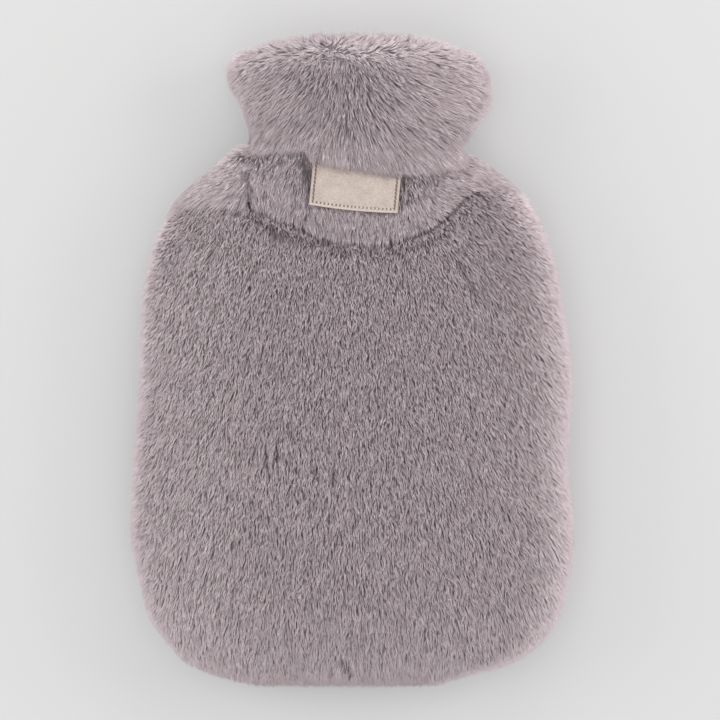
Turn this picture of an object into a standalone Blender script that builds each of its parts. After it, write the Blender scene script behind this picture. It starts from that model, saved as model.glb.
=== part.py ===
"""A long-pile cover for a hot water bottle, lying on its back.

The neck points toward +Y, the face toward +Z, and the origin is on the surface that the
cover lies on, under its middle.  Sizes are in metres, and heights in the tables and the
functions run from the bottom seam toward the neck.

One skin surface, a loft of uneven ovals from the bottom seam to the mouth, is the outside
of the pouch.  Every cloth piece fills the space between two depths under that skin, with
its pile counted in, so the pieces lie a small gap apart and leave the inside hollow for
the bottle.  The turned-down collar is a thick ring around the neck.
"""

import bpy
import numpy as np

LENGTH = 0.3526  # from the bottom seam to the top of the collar
ORIGIN_HEIGHT = 0.17615  # of the origin above the bottom seam, along the cover
ORIGIN_SIDE = -0.00018  # of the origin from the neck's middle line
SEAM_HEIGHT = 0.028  # of the side seam above the surface
FRONT_POWER = 2.35  # how boxy the upper half of a section is; 2 is an ellipse
BACK_POWER = 3.0
END_ROUND = 0.056  # length over which the bottom end swells to full thickness
END_POWER = 2.2

SHARP_ANGLE = np.radians(40)
POINTS_ACROSS = 27  # of a panel's grid, from side seam to side seam
POINTS_AROUND = 44  # of the collar's
END_POINTS = 7  # rows in the rounded bottom end
LEVEL_TO = 0.190  # the front's rows are level up to here, and then bend to the hem

WALL = 0.010  # backing cloth and pile together
NECK_WALL = 0.006  # the pile is pressed flat inside the collar
NECK_END = 0.304  # where the neck's cloth stops inside the collar
THIN_FROM, THIN_TO = 0.262, 0.292  # the wall thins between these heights
GAP = 0.0003  # between neighbouring pieces

TUCK = 0.014  # how far the front panel runs on under the yoke
TUCK_DEPTH = 0.0060  # how far its pile is pressed down there
LAP_SPARE = 0.0015  # the yoke's hollow for it is this much longer
GROOVE = 0.005  # width of the dip beside the yoke's free edge
YOKE_LIFT = 0.0016  # how far the yoke's free edge stands proud
EDGE_ROUND = 0.004
NOSE_DROP = 0.0036  # how far that edge is rounded off

LIP_BACK_DROP = 0.006  # the collar's lower edge at the back, below its sides
LIP_LEAST = 0.006  # the collar is at least this thick
LABEL_ROOM = 0.0018  # clearance under the collar where the label is tucked in
MOUTH_DROP = 0.008  # the collar's rim is this much lower at its corners
CAP_ROUND = 0.005  # rounding of the collar's two edges

LABEL_SIZE = (0.0475, 0.026)
LABEL_MIDDLE = (0.0014, 0.2701)
LABEL_TURN = np.radians(-5.5)
LABEL_THICK = 0.0010

# Each section's height above the bottom seam, its reach to the left and to the right of
# the middle, and its rise above and fall below the side seam.
SECTION = [(name, float) for name in ("height", "left", "right", "rise", "fall")]

# The skin.  Above NECK_END its rows give the inside of the collar.
SKIN = np.array(
    [
        (0.0000, 0.0520, 0.0450, 0.0340, 0.0295),
        (0.0059, 0.0740, 0.0620, 0.0340, 0.0295),
        (0.0124, 0.0900, 0.0860, 0.0342, 0.0295),
        (0.0189, 0.0970, 0.0970, 0.0345, 0.0295),
        (0.0254, 0.1020, 0.1040, 0.0348, 0.0295),
        (0.0383, 0.1110, 0.1120, 0.0355, 0.0295),
        (0.0578, 0.1156, 0.1170, 0.0366, 0.0295),
        (0.0837, 0.1204, 0.1200, 0.0376, 0.0295),
        (0.1226, 0.1190, 0.1166, 0.0382, 0.0295),
        (0.1615, 0.1160, 0.1190, 0.0370, 0.0295),
        (0.2068, 0.1145, 0.1140, 0.0348, 0.0295),
        (0.2327, 0.1100, 0.1085, 0.0326, 0.0295),
        (0.2587, 0.0990, 0.0980, 0.0292, 0.0288),
        (0.2716, 0.0870, 0.0870, 0.0270, 0.0268),
        (0.2780, 0.0790, 0.0780, 0.0255, 0.0252),
        (0.2846, 0.0710, 0.0700, 0.0240, 0.0232),
        (0.2890, 0.0620, 0.0610, 0.0230, 0.0215),
        (0.2925, 0.0530, 0.0520, 0.0225, 0.0200),
        (0.2965, 0.0485, 0.0480, 0.0220, 0.0195),
        (0.3040, 0.0480, 0.0490, 0.0220, 0.0195),
        (0.3170, 0.0530, 0.0580, 0.0225, 0.0195),
        (0.3300, 0.0570, 0.0620, 0.0220, 0.0190),
        (0.3450, 0.0500, 0.0540, 0.0190, 0.0170),
        (0.3530, 0.0460, 0.0490, 0.0160, 0.0150),
    ],
    dtype=SECTION,
)

# The outside of the collar.
COLLAR = np.array(
    [
        (0.2720, 0.0620, 0.0660, 0.0300, 0.0300),
        (0.2840, 0.0600, 0.0640, 0.0310, 0.0300),
        (0.2910, 0.0575, 0.0615, 0.0315, 0.0300),
        (0.2970, 0.0560, 0.0630, 0.0318, 0.0300),
        (0.3040, 0.0575, 0.0680, 0.0320, 0.0300),
        (0.3105, 0.0595, 0.0730, 0.0322, 0.0300),
        (0.3170, 0.0630, 0.0750, 0.0322, 0.0298),
        (0.3235, 0.0670, 0.0745, 0.0320, 0.0296),
        (0.3300, 0.0686, 0.0740, 0.0315, 0.0293),
        (0.3360, 0.0675, 0.0710, 0.0308, 0.0288),
        (0.3430, 0.0650, 0.0670, 0.0295, 0.0280),
        (0.3530, 0.0620, 0.0630, 0.0270, 0.0265),
    ],
    dtype=SECTION,
)

# A free edge on the front: how far across the section, from -1 at the left to 1 at the
# right, and the height there.
EDGE = [(name, float) for name in ("across", "height")]
HEM = np.array(
    [
        (-1.00, 0.2590),
        (-0.58, 0.2570),
        (-0.31, 0.2480),
        (-0.12, 0.2400),
        (0.12, 0.2376),
        (0.38, 0.2446),
        (0.64, 0.2620),
        (0.80, 0.2660),
        (1.00, 0.2680),
    ],
    dtype=EDGE,
)
LIP = np.array(
    [
        (-1.00, 0.2935),
        (-0.87, 0.2860),
        (-0.53, 0.2880),
        (-0.38, 0.2815),
        (0.00, 0.2785),
        (0.45, 0.2748),
        (0.80, 0.2775),
        (1.00, 0.2935),
    ],
    dtype=EDGE,
)

FUR_COLOUR = (0.300, 0.255, 0.270)
LABEL_COLOUR = (0.680, 0.590, 0.500)


def follow(known, values, at):
    """A smooth curve through the values at the known places that never overshoots them."""
    step = np.diff(known)
    slope = np.diff(values) / step
    turns = slope[:-1] * slope[1:] <= 0
    total = np.where(turns, 1.0, slope[:-1] + slope[1:])
    inner = np.where(turns, 0.0, 2 * slope[:-1] * slope[1:] / total)
    tangent = np.concatenate([slope[:1], inner, slope[-1:]])
    at = np.clip(at, known[0], known[-1])
    i = np.clip(np.searchsorted(known, at, side="right") - 1, 0, len(step) - 1)
    t = (at - known[i]) / step[i]
    bend_from = (t**3 - 2 * t**2 + t) * step[i] * tangent[i]
    bend_to = (t**3 - t**2) * step[i] * tangent[i + 1]
    share = 3 * t**2 - 2 * t**3
    return values[i] * (1 - share) + values[i + 1] * share + bend_from + bend_to


def section(table, name, y):
    """One column of a table of sections, read at any height."""
    return follow(table["height"], table[name], y)


def edge_height(edge, turn):
    """Height of a free edge at each angle around a section."""
    return follow(edge["across"], edge["height"], across(turn))


def eased(value, start, stop):
    """0 below start, 1 above stop, and a soft step between them."""
    t = np.clip((value - start) / (stop - start), 0, 1)
    return t * t * (3 - 2 * t)


def oval(table, y, turn):
    """The half width and the half height of a section, for each angle around it."""
    to_right, above = np.cos(turn) > 0, np.sin(turn) > 0
    half_width = np.where(to_right, section(table, "right", y), section(table, "left", y))
    half_height = np.where(above, section(table, "rise", y), section(table, "fall", y))
    return half_width, half_height


def power_of(turn):
    """The power of a section's curve: its upper and its lower half differ."""
    return np.where(np.sin(turn) > 0, FRONT_POWER, BACK_POWER)


def spread(turn):
    """The length of the direction (cos, sin) as the section's own power measures it."""
    power = power_of(turn)
    return (np.abs(np.cos(turn)) ** power + np.abs(np.sin(turn)) ** power) ** (1 / power)


def skin(y, turn):
    """Points of the skin: (half width * cos, y, half height * sin) over spread(turn)."""
    half_width, half_height = oval(SKIN, y, turn)
    left_over = np.clip(1 - y / END_ROUND, 0, 1)
    half_height = half_height * (1 - left_over**END_POWER) ** (1 / END_POWER)
    x = half_width * np.cos(turn) / spread(turn)
    z = SEAM_HEIGHT + half_height * np.sin(turn) / spread(turn)
    return np.stack([x, y, np.maximum(z, 0)], axis=-1)


def outward(y, turn):
    """The skin's unit normals, from the cross product of its two directions."""
    small = 1e-5
    low, high = np.maximum(y - small, 0), y + 0.02 * small
    along = skin(high, turn) - skin(low, turn)
    around = skin(high, turn + small) - skin(high, turn - small)
    normal = np.cross(along, around)
    return normal / np.linalg.norm(normal, axis=-1, keepdims=True)


def at_depth(y, turn, depth):
    """The skin moved outward by depth, inward where depth is below 0."""
    return skin(y, turn) + outward(y, turn) * depth[..., None]


def wall(y):
    """Thickness of the pouch's wall at a height."""
    return WALL + (NECK_WALL - WALL) * eased(y, THIN_FROM, THIN_TO)


def across(turn):
    """How far across the section an angle lies, from -1 at the left to 1 at the right."""
    return np.cos(turn) / spread(turn)


def level_rows(top, count):
    """Heights of level rows, crowded toward the bottom seam where the skin turns."""
    end = END_ROUND * (1 - np.cos(np.linspace(0, np.pi / 2, END_POINTS)))
    return np.concatenate([end, np.linspace(END_ROUND, top, count + 1)[1:]])


def quads(rows, columns, first=0, flip=False, ring=False):
    """Faces of a grid of points numbered row by row; a ring's ends meet in both directions."""
    faces = []
    for row in range(rows if ring else rows - 1):
        for column in range(columns if ring else columns - 1):
            here = first + row * columns + column
            beside = first + row * columns + (column + 1) % columns
            onward = columns if row < rows - 1 else -row * columns
            face = (here, beside, beside + onward, here + onward)
            faces.append(face[::-1] if flip else face)
    return faces


def slab(name, outside, inside, material, collection):
    """One closed body between two grids of points of the same size."""
    rows, columns = outside.shape[:2]
    count = rows * columns
    faces = quads(rows, columns) + quads(rows, columns, first=count, flip=True)
    index = np.arange(count).reshape(rows, columns)
    rim = [*index[0], *index[1:, -1], *index[-1, -2::-1], *index[-2:0:-1, 0]]
    for here, there in zip(rim, rim[1:] + rim[:1]):
        faces.append((there, here, here + count, there + count))
    points = np.concatenate([outside.reshape(-1, 3), inside.reshape(-1, 3)])
    return add_body(name, points, faces, material, collection)


def add_body(name, points, faces, material, collection):
    """A mesh object from points and faces, moved to the origin and shaded smooth."""
    mesh = bpy.data.meshes.new(name)
    placed = points - np.array([ORIGIN_SIDE, ORIGIN_HEIGHT, 0])
    mesh.from_pydata(placed.tolist(), [], faces)
    body = bpy.data.objects.new(name, mesh)
    collection.objects.link(body)
    mesh.materials.append(material)
    mesh.shade_smooth()
    mesh.set_sharp_from_angle(angle=SHARP_ANGLE)
    return body


def plain_material(name, colour, roughness):
    """A Principled material of one colour."""
    material = bpy.data.materials.new(name)
    material.use_nodes = True
    shader = material.node_tree.nodes["Principled BSDF"]
    shader.inputs["Base Color"].default_value = (*colour, 1)
    shader.inputs["Roughness"].default_value = roughness
    return material


def front_panel(material, collection):
    """The lower front, whose top edge is tucked flat under the yoke."""
    turn = np.linspace(np.pi, 0, POINTS_ACROSS)
    edge = edge_height(HEM, turn)
    rows = [np.full_like(turn, y) for y in level_rows(LEVEL_TO, 11)]
    for share in (0.25, 0.50, 0.75, 1.0):
        rows.append(LEVEL_TO + share * (edge - GROOVE - LEVEL_TO))
    for beyond in (-0.5 * GROOVE, 0.0, 0.4 * TUCK, TUCK):
        rows.append(edge + beyond)
    y = np.stack(rows)
    turn = np.broadcast_to(turn, y.shape)
    press = TUCK_DEPTH * eased(y - edge, -GROOVE, 0)
    outside = at_depth(y, turn, -press)
    inside = at_depth(y, turn, -wall(y))
    return slab("front_panel", outside, inside, material, collection)


def back_panel(material, collection):
    """The whole back with the back half of the neck; it lies flat on the surface."""
    turn = np.linspace(2 * np.pi, np.pi, POINTS_ACROSS)
    neck_rows = np.linspace(THIN_FROM, NECK_END, 11)[1:]
    rows = np.concatenate([level_rows(THIN_FROM, 17), neck_rows])
    y, turn = np.meshgrid(rows, turn, indexing="ij")
    outside = skin(y, turn)
    inside = at_depth(y, turn, -wall(y))
    return slab("back_panel", outside, inside, material, collection)


def yoke_flap(material, collection):
    """The upper front with the front half of the neck; its free edge laps over."""
    turn = np.linspace(np.pi, 0, POINTS_ACROSS)
    edge = edge_height(HEM, turn)
    lap = TUCK + LAP_SPARE
    near = [edge + e for e in (0.0, 0.3 * EDGE_ROUND, EDGE_ROUND, 0.6 * lap, lap)]
    far = [edge + lap + s * (NECK_END - edge - lap) for s in np.linspace(0, 1, 11)[1:]]
    y = np.stack(near + far)
    turn = np.broadcast_to(turn, y.shape)
    above = y - edge
    middle = 1 - np.abs(across(turn)) ** 4
    lift = YOKE_LIFT * middle * (1 - eased(above, 0, TUCK))
    short = np.clip(1 - above / EDGE_ROUND, 0, 1)
    nose = NOSE_DROP * (1 - np.sqrt(1 - short**2))
    outside = at_depth(y, turn, lift - nose)
    free = eased(above, lap, 1.5 * lap)
    deep = (TUCK_DEPTH - 2 * GAP) * (1 - free) + wall(y) * free
    inside = at_depth(y, turn, -deep)
    return slab("yoke_flap", outside, inside, material, collection)


def ray_reach(table, y, turn):
    """Distance from the section's middle to its edge along a straight ray."""
    half_width, half_height = oval(table, y, turn)
    power = power_of(turn)
    across_part = (np.abs(np.cos(turn)) / half_width) ** power
    up_part = (np.abs(np.sin(turn)) / half_height) ** power
    return (across_part + up_part) ** (-1 / power)


def neck_collar(material, collection):
    """The thick turned-down collar: a ring of rounded wall around the neck."""
    around = np.arange(POINTS_AROUND) * 2 * np.pi / POINTS_AROUND
    half_width, half_height = oval(COLLAR, np.full_like(around, NECK_END), around)
    ray = np.arctan2(half_height * np.sin(around), half_width * np.cos(around))
    back_lip = LIP["height"][0] - LIP_BACK_DROP * np.abs(np.sin(around))
    low = np.where(np.sin(around) > 0, edge_height(LIP, around), back_lip)
    high = LENGTH - MOUTH_DROP * np.abs(across(around)) ** 4

    # The wall's outline at each ray: up the outside, over the rim, down the inside and
    # round the lip.  share runs along the wall, side from -1 inside to 1 outside.
    straight = np.linspace(0, 1, 10) ** 1.4
    cap = np.radians(np.array([60, 20, -20, -60]))
    flat, full = np.zeros_like(straight), np.ones_like(straight)
    share = np.concatenate([straight, np.ones_like(cap), straight[::-1], np.zeros_like(cap)])
    bulge = np.concatenate([flat, np.cos(cap), flat, -np.cos(cap)])[:, None]
    side = np.concatenate([full, np.sin(cap), -full, -np.sin(cap)])[:, None]
    y = low + CAP_ROUND + share[:, None] * (high - low - 2 * CAP_ROUND) + bulge * CAP_ROUND

    ray = np.broadcast_to(ray, y.shape)
    label_room = LABEL_ROOM * eased(np.sin(ray), 0.0, 0.5) * (1 - eased(y, THIN_TO, NECK_END))
    inner = ray_reach(SKIN, y, ray) + 3 * GAP + label_room
    outer = np.maximum(ray_reach(COLLAR, y, ray), inner + LIP_LEAST)
    reach = inner + (outer - inner) * (0.5 + 0.5 * side)
    x, z = reach * np.cos(ray), SEAM_HEIGHT + reach * np.sin(ray)
    points = np.stack([x, y, np.maximum(z, 0)], axis=-1)
    faces = quads(*y.shape, flip=True, ring=True)
    return add_body("neck_collar", points.reshape(-1, 3), faces, material, collection)


def crown(x, y):
    """Height of the skin's upper half over a point of the ground plan."""
    half_width = np.where(x > 0, section(SKIN, "right", y), section(SKIN, "left", y))
    left_over = 1 - np.abs(x / half_width) ** FRONT_POWER
    return SEAM_HEIGHT + section(SKIN, "rise", y) * left_over ** (1 / FRONT_POWER)


def label_patch(material, collection):
    """The small sewn label, a thin patch that follows the yoke, its top under the collar."""
    width, height = LABEL_SIZE
    u, v = np.meshgrid(
        np.linspace(-width / 2, width / 2, 11),
        np.linspace(-height / 2, height / 2, 7),
    )
    x = LABEL_MIDDLE[0] + u * np.cos(LABEL_TURN) - v * np.sin(LABEL_TURN)
    y = LABEL_MIDDLE[1] + u * np.sin(LABEL_TURN) + v * np.cos(LABEL_TURN)
    above = y - follow(HEM["across"], HEM["height"], x / section(SKIN, "left", y))
    lift = YOKE_LIFT * (1 - eased(above, 0, TUCK))
    low = crown(x, y) + lift + GAP
    outside = np.stack([x, y, low + LABEL_THICK], axis=-1)
    inside = np.stack([x, y, low], axis=-1)
    return slab("label_patch", outside, inside, material, collection)


def main():
    for leftover in list(bpy.data.objects):
        bpy.data.objects.remove(leftover)
    cover = bpy.data.collections.new("hot_water_bottle_cover")
    bpy.context.scene.collection.children.link(cover)
    fur = plain_material("grey_taupe_pile", FUR_COLOUR, 0.9)
    cream = plain_material("cream_label_cloth", LABEL_COLOUR, 0.7)
    back_panel(fur, cover)
    neck_collar(fur, cover)
    front_pieces = (front_panel(fur, cover), yoke_flap(fur, cover), label_patch(cream, cover))
    for piece in front_pieces:
        piece.location.z = GAP


main()
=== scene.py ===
"""A long-pile cover for a hot water bottle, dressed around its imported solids.

Each cloth piece is a thin closed cloth with its pile standing on it, and the pile's tips
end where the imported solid's surface is.  Sizes are in metres.  The skin, the free edges
and the collar are the same surfaces as in the part's source, worked out on finer grids.
Heights in the tables run from the bottom seam toward the neck.
"""

import bpy
import numpy as np
from bpy.props import FloatProperty, FloatVectorProperty, IntProperty, PointerProperty
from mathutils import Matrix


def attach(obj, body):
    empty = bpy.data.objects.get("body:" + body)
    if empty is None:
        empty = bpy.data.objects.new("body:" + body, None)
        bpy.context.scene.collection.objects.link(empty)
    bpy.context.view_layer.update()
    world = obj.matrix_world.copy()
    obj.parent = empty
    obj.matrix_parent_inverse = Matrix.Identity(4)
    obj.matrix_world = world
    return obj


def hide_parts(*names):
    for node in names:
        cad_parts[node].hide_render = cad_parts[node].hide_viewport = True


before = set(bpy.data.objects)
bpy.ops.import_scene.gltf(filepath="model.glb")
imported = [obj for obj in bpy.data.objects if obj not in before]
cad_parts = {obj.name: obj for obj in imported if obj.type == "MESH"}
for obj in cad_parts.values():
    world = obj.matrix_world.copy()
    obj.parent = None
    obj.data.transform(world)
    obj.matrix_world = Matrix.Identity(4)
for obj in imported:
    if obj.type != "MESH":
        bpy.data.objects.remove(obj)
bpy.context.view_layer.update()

bl_info = {
    "name": "Hot Water Bottle Cover",
    "version": (1, 0, 0),
    "blender": (4, 5, 0),
    "location": "3D View > Sidebar > Bottle Cover",
    "description": "Builds the cloth, pile and label of a hot water bottle cover",
    "category": "Object",
}

def named_table(columns, *rows):
    """Rows of numbers whose columns have names."""
    return np.array(list(rows), dtype=[(name, float) for name in columns.split()])


LENGTH = 0.3526  # from the bottom seam to the top of the collar
ORIGIN_HEIGHT = 0.17615  # of the origin above the bottom seam, along the cover
ORIGIN_SIDE = -0.00018  # of the origin from the neck's middle line
SEAM_HEIGHT = 0.028  # of the side seam above the surface
FRONT_POWER = 2.35  # how boxy the upper half of a section is; 2 is an ellipse
BACK_POWER = 3.0
END_ROUND = 0.056  # length over which the bottom end swells to full thickness
END_POWER = 2.2

WALL = 0.010  # backing cloth and pile together
NECK_WALL = 0.006  # the pile is pressed flat inside the collar
NECK_END = 0.304  # where the neck's cloth stops inside the collar
THIN_FROM, THIN_TO = 0.262, 0.292  # the wall thins between these heights
GAP = 0.0003  # between neighbouring pieces

TUCK = 0.014  # how far the front panel runs on under the yoke
TUCK_DEPTH = 0.0060  # how far its pile is pressed down there
LAP_SPARE = 0.0015  # the yoke's hollow for it is this much longer
GROOVE = 0.005  # width of the dip beside the yoke's free edge
YOKE_LIFT = 0.0016  # how far the yoke's free edge stands proud
EDGE_ROUND = 0.004
NOSE_DROP = 0.0036  # how far that edge is rounded off

LIP_BACK_DROP = 0.006  # the collar's lower edge at the back, below its sides
LIP_LEAST = 0.006  # the collar is at least this thick
LABEL_ROOM = 0.0018  # clearance under the collar where the label is tucked in
MOUTH_DROP = 0.008  # the collar's rim is this much lower at its corners
CAP_ROUND = 0.005  # rounding of the collar's two edges

LABEL_SIZE = (0.0475, 0.026)
LABEL_MIDDLE = (0.0014, 0.2701)
LABEL_TURN = np.radians(-5.5)
LABEL_THICK = 0.0010
LABEL_BOW = 0.0009  # how far the pull of the cloth bows the label's lower edge

CLOTH = 0.0035  # the knitted backing with the dense foot of the pile
HEM_SETBACK = 0.0048  # the yoke's backing stops this far above its pile's tips
FLAT_FLOOR = 0.0003  # nothing of the cover lies lower than this
CARRY_DOWN, CARRY_ROUND = 0.10, 0.6  # shares of a run past the bottom seam
HEM_DIP = 0.0024  # depth of the front pile's dip beside the yoke's free edge

# Each section's height above the bottom seam, its reach to the left and to the right of
# the middle, and its rise above and fall below the side seam.
SECTION = "height left right rise fall"

# The skin.  Above NECK_END its rows give the inside of the collar.
SKIN = named_table(
    SECTION,
    (0.0000, 0.0520, 0.0450, 0.0340, 0.0295),
    (0.0059, 0.0740, 0.0620, 0.0340, 0.0295),
    (0.0124, 0.0900, 0.0860, 0.0342, 0.0295),
    (0.0189, 0.0970, 0.0970, 0.0345, 0.0295),
    (0.0254, 0.1020, 0.1040, 0.0348, 0.0295),
    (0.0383, 0.1110, 0.1120, 0.0355, 0.0295),
    (0.0578, 0.1156, 0.1170, 0.0366, 0.0295),
    (0.0837, 0.1204, 0.1200, 0.0376, 0.0295),
    (0.1226, 0.1190, 0.1166, 0.0382, 0.0295),
    (0.1615, 0.1160, 0.1190, 0.0370, 0.0295),
    (0.2068, 0.1145, 0.1140, 0.0348, 0.0295),
    (0.2327, 0.1100, 0.1085, 0.0326, 0.0295),
    (0.2587, 0.0990, 0.0980, 0.0292, 0.0288),
    (0.2716, 0.0870, 0.0870, 0.0270, 0.0268),
    (0.2780, 0.0790, 0.0780, 0.0255, 0.0252),
    (0.2846, 0.0710, 0.0700, 0.0240, 0.0232),
    (0.2890, 0.0620, 0.0610, 0.0230, 0.0215),
    (0.2925, 0.0530, 0.0520, 0.0225, 0.0200),
    (0.2965, 0.0485, 0.0480, 0.0220, 0.0195),
    (0.3040, 0.0480, 0.0490, 0.0220, 0.0195),
    (0.3170, 0.0530, 0.0580, 0.0225, 0.0195),
    (0.3300, 0.0570, 0.0620, 0.0220, 0.0190),
    (0.3450, 0.0500, 0.0540, 0.0190, 0.0170),
    (0.3530, 0.0460, 0.0490, 0.0160, 0.0150),
)

# The outside of the collar.
COLLAR = named_table(
    SECTION,
    (0.2720, 0.0620, 0.0660, 0.0300, 0.0300),
    (0.2840, 0.0600, 0.0640, 0.0310, 0.0300),
    (0.2910, 0.0575, 0.0615, 0.0315, 0.0300),
    (0.2970, 0.0560, 0.0630, 0.0318, 0.0300),
    (0.3040, 0.0575, 0.0680, 0.0320, 0.0300),
    (0.3105, 0.0595, 0.0730, 0.0322, 0.0300),
    (0.3170, 0.0630, 0.0750, 0.0322, 0.0298),
    (0.3235, 0.0670, 0.0745, 0.0320, 0.0296),
    (0.3300, 0.0686, 0.0740, 0.0315, 0.0293),
    (0.3360, 0.0675, 0.0710, 0.0308, 0.0288),
    (0.3430, 0.0650, 0.0670, 0.0295, 0.0280),
    (0.3530, 0.0620, 0.0630, 0.0270, 0.0265),
)

# A free edge on the front: how far across the section, from -1 at the left to 1 at the
# right, and the height there.
EDGE = "across height"
HEM = named_table(
    EDGE,
    (-1.00, 0.2590),
    (-0.58, 0.2570),
    (-0.31, 0.2480),
    (-0.12, 0.2400),
    (0.12, 0.2376),
    (0.38, 0.2446),
    (0.64, 0.2620),
    (0.80, 0.2660),
    (1.00, 0.2680),
)
LIP = named_table(
    EDGE,
    (-1.00, 0.2935),
    (-0.87, 0.2860),
    (-0.53, 0.2880),
    (-0.38, 0.2815),
    (0.00, 0.2785),
    (0.45, 0.2748),
    (0.80, 0.2775),
    (1.00, 0.2935),
)

# Places where the pile is parted or rubbed: a short line from one point to another, how
# wide it is, how much of the pile's height it takes away, and how much shade is painted
# into it, for the shade that falls into the parting; some lines paint the shadow under the
# yoke's free edge, beside the label and under the collar.
PARTING = "x0 y0 x1 y1 width hollow dark"
FRONT_PARTINGS = named_table(
    PARTING,
    (-0.0464, 0.1291, -0.0443, 0.1145, 0.0009, 0.25, 0.17),
    (-0.0400, 0.1280, -0.0405, 0.1231, 0.0015, 0.40, 0.30),
    (-0.0367, 0.1258, -0.0335, 0.1210, 0.0012, 0.28, 0.22),
    (-0.0302, 0.1190, -0.0296, 0.1176, 0.0012, 0.28, 0.23),
    (-0.0296, 0.1176, -0.0200, 0.1164, 0.0007, 0.15, 0.18),
    (-0.0196, 0.1172, -0.0192, 0.1158, 0.0012, 0.35, 0.31),
    (-0.0103, 0.1177, -0.0108, 0.1129, 0.0012, 0.35, 0.30),
    (-0.0060, 0.0170, -0.0010, 0.0120, 0.0017, 0.30, 0.24),
    (-0.0560, 0.1770, -0.0530, 0.1720, 0.0016, 0.20, 0.16),
    (-0.0760, 0.2300, -0.0700, 0.2420, 0.0018, 0.20, 0.14),
    (0.0560, 0.2260, 0.0640, 0.2130, 0.0020, 0.30, 0.20),
    (0.0200, 0.2350, 0.0300, 0.2290, 0.0016, 0.25, 0.20),
    # the last three lines paint the shadow under the yoke's free edge
    (-0.0600, 0.2540, -0.0380, 0.2430, 0.0022, 0.35, 0.28),
    (-0.0410, 0.2415, -0.0060, 0.2365, 0.0026, 0.35, 0.44),
    (-0.0080, 0.2345, 0.0200, 0.2350, 0.0014, 0.25, 0.18),
)
OVER_LABEL = 0.0017  # how far the pile on the label's left reaches over its edge
YOKE_PARTINGS = named_table(
    PARTING,
    (-0.0555, 0.2775, -0.0550, 0.2560, 0.0013, 0.50, 0.34),
    (-0.0221, 0.2603, -0.0270, 0.2511, 0.0012, 0.30, 0.22),
    # painted shadow in the hollow by the label's top left corner
    (-0.0262, 0.2850, -0.0232, 0.2770, 0.0024, 0.70, 0.60),
    (-0.0240, 0.2790, -0.0236, 0.2610, 0.0010, 0.30, 0.30),
    (0.0262, 0.2775, 0.0272, 0.2735, 0.0010, 0.40, 0.36),
    (0.0250, 0.2680, 0.0246, 0.2560, 0.0008, 0.15, 0.12),
    (-0.0615, 0.2842, -0.0500, 0.2838, 0.0010, 0.35, 0.22),
    (-0.0500, 0.2838, -0.0380, 0.2846, 0.0010, 0.25, 0.12),
    (-0.0470, 0.2790, -0.0380, 0.2850, 0.0014, 0.30, 0.22),
    # painted shadow of the collar on the right shoulder
    (0.0430, 0.2765, 0.0600, 0.2850, 0.0034, 0.35, 0.20),
)

# Each piece's soft locks, long hairs and fine hairs, four triangles each, so that the
# cover stays under a million triangles and each of its meshes under 200,000, and how
# much the shades of neighbouring strands differ.
PILE_COUNTS = {
    "back": (18000, 17000, 0),
    "front": (49500, 49500, 25000),
    "yoke": (8000, 10000, 0),
    "collar": (22000, 22000, 12000),
}
SHADE_SPREAD = {"back": 0.14, "front": 0.16, "yoke": 0.25, "collar": 0.23}


# ---------------------------------------------------------------- surfaces


def follow(known, values, at):
    """A smooth curve through the values at the known places that never overshoots them."""
    step = np.diff(known)
    slope = np.diff(values) / step
    turns = slope[:-1] * slope[1:] <= 0
    total = np.where(turns, 1.0, slope[:-1] + slope[1:])
    inner = np.where(turns, 0.0, 2 * slope[:-1] * slope[1:] / total)
    tangent = np.concatenate([slope[:1], inner, slope[-1:]])
    at = np.clip(at, known[0], known[-1])
    i = np.clip(np.searchsorted(known, at, side="right") - 1, 0, len(step) - 1)
    t = (at - known[i]) / step[i]
    bend_from = (t**3 - 2 * t**2 + t) * step[i] * tangent[i]
    bend_to = (t**3 - t**2) * step[i] * tangent[i + 1]
    share = 3 * t**2 - 2 * t**3
    return values[i] * (1 - share) + values[i + 1] * share + bend_from + bend_to


def section(table, name, y):
    """One column of a table of sections, read at any height."""
    return follow(table["height"], table[name], y)


def edge_height(edge, turn):
    """Height of a free edge at each angle around a section."""
    return follow(edge["across"], edge["height"], across(turn))


def eased(value, start, stop):
    """0 below start, 1 above stop, and a soft step between them."""
    t = np.clip((value - start) / (stop - start), 0, 1)
    return t * t * (3 - 2 * t)


def side_reach(table, right, y):
    """How far a section reaches from the middle, to the right or else to the left."""
    return np.where(right, section(table, "right", y), section(table, "left", y))


def oval(table, y, turn):
    """The half width and the half height of a section, for each angle around it."""
    above = np.sin(turn) > 0
    half_height = np.where(above, section(table, "rise", y), section(table, "fall", y))
    return side_reach(table, np.cos(turn) > 0, y), half_height


def power_of(turn):
    """The power of a section's curve: its upper and its lower half differ."""
    return np.where(np.sin(turn) > 0, FRONT_POWER, BACK_POWER)


def spread(turn):
    """The length of the direction (cos, sin) as the section's own power measures it."""
    power = power_of(turn)
    return (np.abs(np.cos(turn)) ** power + np.abs(np.sin(turn)) ** power) ** (1 / power)


def across(turn):
    """How far across the section an angle lies, from -1 at the left to 1 at the right."""
    return np.cos(turn) / spread(turn)


def skin(y, turn):
    """Points of the skin: (half width * cos, y, half height * sin) over spread(turn)."""
    half_width, half_height = oval(SKIN, y, turn)
    left_over = np.clip(1 - y / END_ROUND, 0, 1)
    half_height = half_height * (1 - left_over**END_POWER) ** (1 / END_POWER)
    x = half_width * np.cos(turn) / spread(turn)
    z = SEAM_HEIGHT + half_height * np.sin(turn) / spread(turn)
    return np.stack([x, y, np.maximum(z, 0)], axis=-1)


def outward(y, turn):
    """The skin's unit normals, from the cross product of its two directions."""
    small = 1e-5
    low, high = np.maximum(y - small, 0), y + 0.02 * small
    along = skin(high, turn) - skin(low, turn)
    around = skin(high, turn + small) - skin(high, turn - small)
    return unit(np.cross(along, around))


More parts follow.
